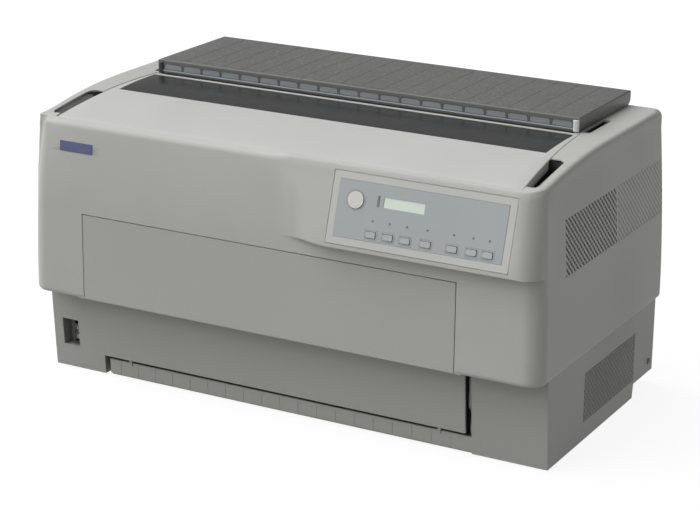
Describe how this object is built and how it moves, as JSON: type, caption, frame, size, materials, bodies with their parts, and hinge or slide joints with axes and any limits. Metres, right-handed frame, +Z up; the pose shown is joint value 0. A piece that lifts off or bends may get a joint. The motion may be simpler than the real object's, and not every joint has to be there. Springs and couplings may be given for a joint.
{
  "type": "dot matrix printer",
  "caption": "Wide desktop dot matrix printer with a hinged top cover, window, raised paper guide, front door, sloped control panel and a tractor feed inside.",
  "frame": {"origin": "middle of the footprint, on the surface that the feet stand on", "axes": "+X to the right across the machine, +Y from the front to the back, +Z up"},
  "size_m": [0.7, 0.4, 0.377],
  "materials": {
    "casing_grey": "warm grey moulded plastic with a fine grain",
    "base_grey": "darker grey moulded plastic with a fine grain",
    "door_grey": "smooth mid-grey moulded plastic",
    "cover_grey": "pale grey moulded plastic with a fine grain",
    "smoked_window": "smoked transparent acrylic sheet with a low gloss",
    "guide_dark": "dark grey moulded plastic",
    "badge_blue": "blank blue plate with a satin face",
    "panel_film": "pale bluish grey printed polyester film, left blank",
    "display_green": "pale green liquid crystal display under a clear pane",
    "key_grey": "light grey key caps",
    "button_white": "off-white round button",
    "black_plastic": "black glass-filled moulded plastic",
    "black_rubber": "black rubber, ground smooth on the platen",
    "zinc_steel": "zinc-plated steel sheet",
    "bright_steel": "ground steel shaft",
    "dark_metal": "dark coated metal",
    "pulley_alloy": "machined aluminium",
    "white_plastic": "natural white acetal",
    "knob_blue": "blue moulded plastic knob",
    "board_green": "green circuit board with its components"
  },
  "bodies": {
    "machine": {"lower_case": "base_grey", "upper_case": "casing_grey", "badge_plate": "badge_blue", "panel_bezel": "casing_grey", "panel_overlay": "panel_film", "display_window": "display_green", "panel_board": "board_green", "lower_front_panel": "base_grey", "switch_housing": "black_plastic", "power_inlet": "black_plastic", "rubber_feet": "black_rubber", "case_screws": "bright_steel", "left_frame": "zinc_steel", "right_frame": "zinc_steel", "carriage_shaft": "bright_steel", "ribbon_cartridge": "black_plastic", "carriage_motor": "dark_metal", "carriage_belt": "black_rubber", "feed_motor": "dark_metal", "feed_belts": "black_rubber", "tractor_rods": "bright_steel", "power_supply": "zinc_steel", "main_board": "board_green", "fan_housing": "black_plastic"},
    "cover": {"printer_cover": "cover_grey", "cover_window": "smoked_window"},
    "guide": {"paper_guide": "guide_dark"},
    "front_door": {"front_door": "door_grey"},
    "rear_cover": {"rear_cover": "casing_grey"},
    "rocker": {"power_rocker": "black_plastic"},
    "pause": {"pause_button": "button_white"},
    "carriage": {"carriage": "black_plastic", "print_head": "dark_metal"},
    "ribbon_knob": {"ribbon_knob": "knob_blue"},
    "motor_pulley": {"motor_pulley": "pulley_alloy"},
    "idler_pulley": {"idler_pulley": "pulley_alloy"},
    "platen": {"platen": "black_rubber"},
    "feed_pinion": {"feed_pinion": "white_plastic"},
    "front_tractor_shaft": {"front_tractor_shaft": "bright_steel"},
    "rear_tractor_shaft": {"rear_tractor_shaft": "bright_steel"},
    "fan_rotor": {"fan_rotor": "black_plastic"},
    "key_1": {"key_1": "key_grey"},
    "key_2": {"key_2": "key_grey"},
    "key_3": {"key_3": "key_grey"},
    "key_4": {"key_4": "key_grey"},
    "key_5": {"key_5": "key_grey"},
    "key_6": {"key_6": "key_grey"},
    "key_7": {"key_7": "key_grey"},
    "front_left_tractor": {"front_left_tractor": "black_plastic"},
    "front_left_pin_wheel": {"front_left_pin_wheel": "white_plastic"},
    "front_left_flap": {"front_left_flap": "black_plastic"},
    "front_right_tractor": {"front_right_tractor": "black_plastic"},
    "front_right_pin_wheel": {"front_right_pin_wheel": "white_plastic"},
    "front_right_flap": {"front_right_flap": "black_plastic"},
    "rear_left_tractor": {"rear_left_tractor": "black_plastic"},
    "rear_left_pin_wheel": {"rear_left_pin_wheel": "white_plastic"},
    "rear_left_flap": {"rear_left_flap": "black_plastic"},
    "rear_right_tractor": {"rear_right_tractor": "black_plastic"},
    "rear_right_pin_wheel": {"rear_right_pin_wheel": "white_plastic"},
    "rear_right_flap": {"rear_right_flap": "black_plastic"}
  },
  "joints": [
    {"name": "printer_cover_hinge", "type": "hinge", "parent": "machine", "child": "cover", "pos_m": [0, 0.0275, 0.3555], "axis": [-1, 0, 0], "range_deg": [0, 75]},
    {"name": "paper_guide_hinge", "type": "hinge", "parent": "machine", "child": "guide", "pos_m": [0, 0.187, 0.368], "axis": [-1, 0, 0], "range_deg": [0, 85]},
    {"name": "front_door_hinge", "type": "hinge", "parent": "machine", "child": "front_door", "pos_m": [0, -0.18, 0.1175], "axis": [1, 0, 0], "range_deg": [0, 90]},
    {"name": "rear_cover_hinge", "type": "hinge", "parent": "machine", "child": "rear_cover", "pos_m": [0, 0.198, 0.328], "axis": [1, 0, 0], "range_deg": [0, 100]},
    {"name": "power_rocker_turn", "type": "hinge", "parent": "machine", "child": "rocker", "pos_m": [-0.3142, -0.129, 0.05], "axis": [-1, 0, 0], "range_deg": [0, 14]},
    {"name": "key_1_press", "type": "slide", "parent": "machine", "child": "key_1", "axis": [0, 0.9581, -0.2863], "range_m": [0, 0.0008], "stiffness_N_per_m": 400, "springref_m": -0.0006},
    {"name": "key_2_press", "type": "slide", "parent": "machine", "child": "key_2", "axis": [0, 0.9581, -0.2863], "range_m": [0, 0.0008], "stiffness_N_per_m": 400, "springref_m": -0.0006},
    {"name": "key_3_press", "type": "slide", "parent": "machine", "child": "key_3", "axis": [0, 0.9581, -0.2863], "range_m": [0, 0.0008], "stiffness_N_per_m": 400, "springref_m": -0.0006},
    {"name": "key_4_press", "type": "slide", "parent": "machine", "child": "key_4", "axis": [0, 0.9581, -0.2863], "range_m": [0, 0.0008], "stiffness_N_per_m": 400, "springref_m": -0.0006},
    {"name": "key_5_press", "type": "slide", "parent": "machine", "child": "key_5", "axis": [0, 0.9581, -0.2863], "range_m": [0, 0.0008], "stiffness_N_per_m": 400, "springref_m": -0.0006},
    {"name": "key_6_press", "type": "slide", "parent": "machine", "child": "key_6", "axis": [0, 0.9581, -0.2863], "range_m": [0, 0.0008], "stiffness_N_per_m": 400, "springref_m": -0.0006},
    {"name": "key_7_press", "type": "slide", "parent": "machine", "child": "key_7", "axis": [0, 0.9581, -0.2863], "range_m": [0, 0.0008], "stiffness_N_per_m": 400, "springref_m": -0.0006},
    {"name": "pause_button_press", "type": "slide", "parent": "machine", "child": "pause", "axis": [0, 0.9581, -0.2863], "range_m": [0, 0.0008], "stiffness_N_per_m": 400, "springref_m": -0.0006},
    {"name": "carriage_slide", "type": "slide", "parent": "machine", "child": "carriage", "axis": [1, 0, 0], "range_m": [0, 0.34]},
    {"name": "motor_pulley_turn", "type": "hinge", "parent": "machine", "child": "motor_pulley", "pos_m": [0.225, -0.075, 0.236], "axis": [0, 0, 1], "continuous": true},
    {"name": "idler_pulley_turn", "type": "hinge", "parent": "machine", "child": "idler_pulley", "pos_m": [-0.225, -0.075, 0.236], "axis": [0, 0, 1], "continuous": true},
    {"name": "platen_turn", "type": "hinge", "parent": "machine", "child": "platen", "pos_m": [0, 0.03, 0.268], "axis": [1, 0, 0], "continuous": true},
    {"name": "feed_pinion_turn", "type": "hinge", "parent": "machine", "child": "feed_pinion", "pos_m": [0, 0.03, 0.22], "axis": [1, 0, 0], "continuous": true},
    {"name": "front_tractor_shaft_turn", "type": "hinge", "parent": "machine", "child": "front_tractor_shaft", "pos_m": [0, -0.125, 0.178], "axis": [1, 0, 0], "continuous": true},
    {"name": "rear_tractor_shaft_turn", "type": "hinge", "parent": "machine", "child": "rear_tractor_shaft", "pos_m": [0, 0.143, 0.178], "axis": [1, 0, 0], "continuous": true},
    {"name": "ribbon_knob_turn", "type": "hinge", "parent": "machine", "child": "ribbon_knob", "pos_m": [-0.197, -0.085, 0.323], "axis": [0, 0, 1], "continuous": true},
    {"name": "fan_turn", "type": "hinge", "parent": "machine", "child": "fan_rotor", "pos_m": [0.317, -0.037, 0.262], "axis": [1, 0, 0], "continuous": true},
    {"name": "front_left_tractor_slide", "type": "slide", "parent": "machine", "child": "front_left_tractor", "axis": [1, 0, 0], "range_m": [-0.03, 0.13]},
    {"name": "front_left_pin_wheel_turn", "type": "hinge", "parent": "front_left_tractor", "child": "front_left_pin_wheel", "pos_m": [-0.17, -0.125, 0.178], "axis": [1, 0, 0], "continuous": true},
    {"name": "front_left_flap_hinge", "type": "hinge", "parent": "front_left_tractor", "child": "front_left_flap", "pos_m": [-0.1875, -0.145, 0.178], "axis": [0, 0, -1], "range_deg": [0, 100]},
    {"name": "front_right_tractor_slide", "type": "slide", "parent": "machine", "child": "front_right_tractor", "axis": [1, 0, 0], "range_m": [-0.13, 0.03]},
    {"name": "front_right_pin_wheel_turn", "type": "hinge", "parent": "front_right_tractor", "child": "front_right_pin_wheel", "pos_m": [0.17, -0.125, 0.178], "axis": [1, 0, 0], "continuous": true},
    {"name": "front_right_flap_hinge", "type": "hinge", "parent": "front_right_tractor", "child": "front_right_flap", "pos_m": [0.1875, -0.145, 0.178], "axis": [0, 0, 1], "range_deg": [0, 100]},
    {"name": "rear_left_tractor_slide", "type": "slide", "parent": "machine", "child": "rear_left_tractor", "axis": [1, 0, 0], "range_m": [-0.03, 0.13]},
    {"name": "rear_left_pin_wheel_turn", "type": "hinge", "parent": "rear_left_tractor", "child": "rear_left_pin_wheel", "pos_m": [-0.17, 0.143, 0.178], "axis": [1, 0, 0], "continuous": true},
    {"name": "rear_left_flap_hinge", "type": "hinge", "parent": "rear_left_tractor", "child": "rear_left_flap", "pos_m": [-0.1875, 0.163, 0.178], "axis": [0, 0, 1], "range_deg": [0, 100]},
    {"name": "rear_right_tractor_slide", "type": "slide", "parent": "machine", "child": "rear_right_tractor", "axis": [1, 0, 0], "range_m": [-0.13, 0.03]},
    {"name": "rear_right_pin_wheel_turn", "type": "hinge", "parent": "rear_right_tractor", "child": "rear_right_pin_wheel", "pos_m": [0.17, 0.143, 0.178], "axis": [1, 0, 0], "continuous": true},
    {"name": "rear_right_flap_hinge", "type": "hinge", "parent": "rear_right_tractor", "child": "rear_right_flap", "pos_m": [0.1875, 0.163, 0.178], "axis": [0, 0, -1], "range_deg": [0, 100]}
  ],
  "couplings": [
    {"joint": "motor_pulley_turn", "follows": "carriage_slide", "rad_per_m": -92.166},
    {"joint": "idler_pulley_turn", "follows": "carriage_slide", "rad_per_m": -92.166},
    {"joint": "feed_pinion_turn", "follows": "platen_turn", "ratio": -3},
    {"joint": "front_tractor_shaft_turn", "follows": "platen_turn", "ratio": 1},
    {"joint": "rear_tractor_shaft_turn", "follows": "platen_turn", "ratio": 1},
    {"joint": "front_left_pin_wheel_turn", "follows": "platen_turn", "ratio": 1},
    {"joint": "front_right_pin_wheel_turn", "follows": "platen_turn", "ratio": 1},
    {"joint": "rear_left_pin_wheel_turn", "follows": "platen_turn", "ratio": 1},
    {"joint": "rear_right_pin_wheel_turn", "follows": "platen_turn", "ratio": 1}
  ]
}
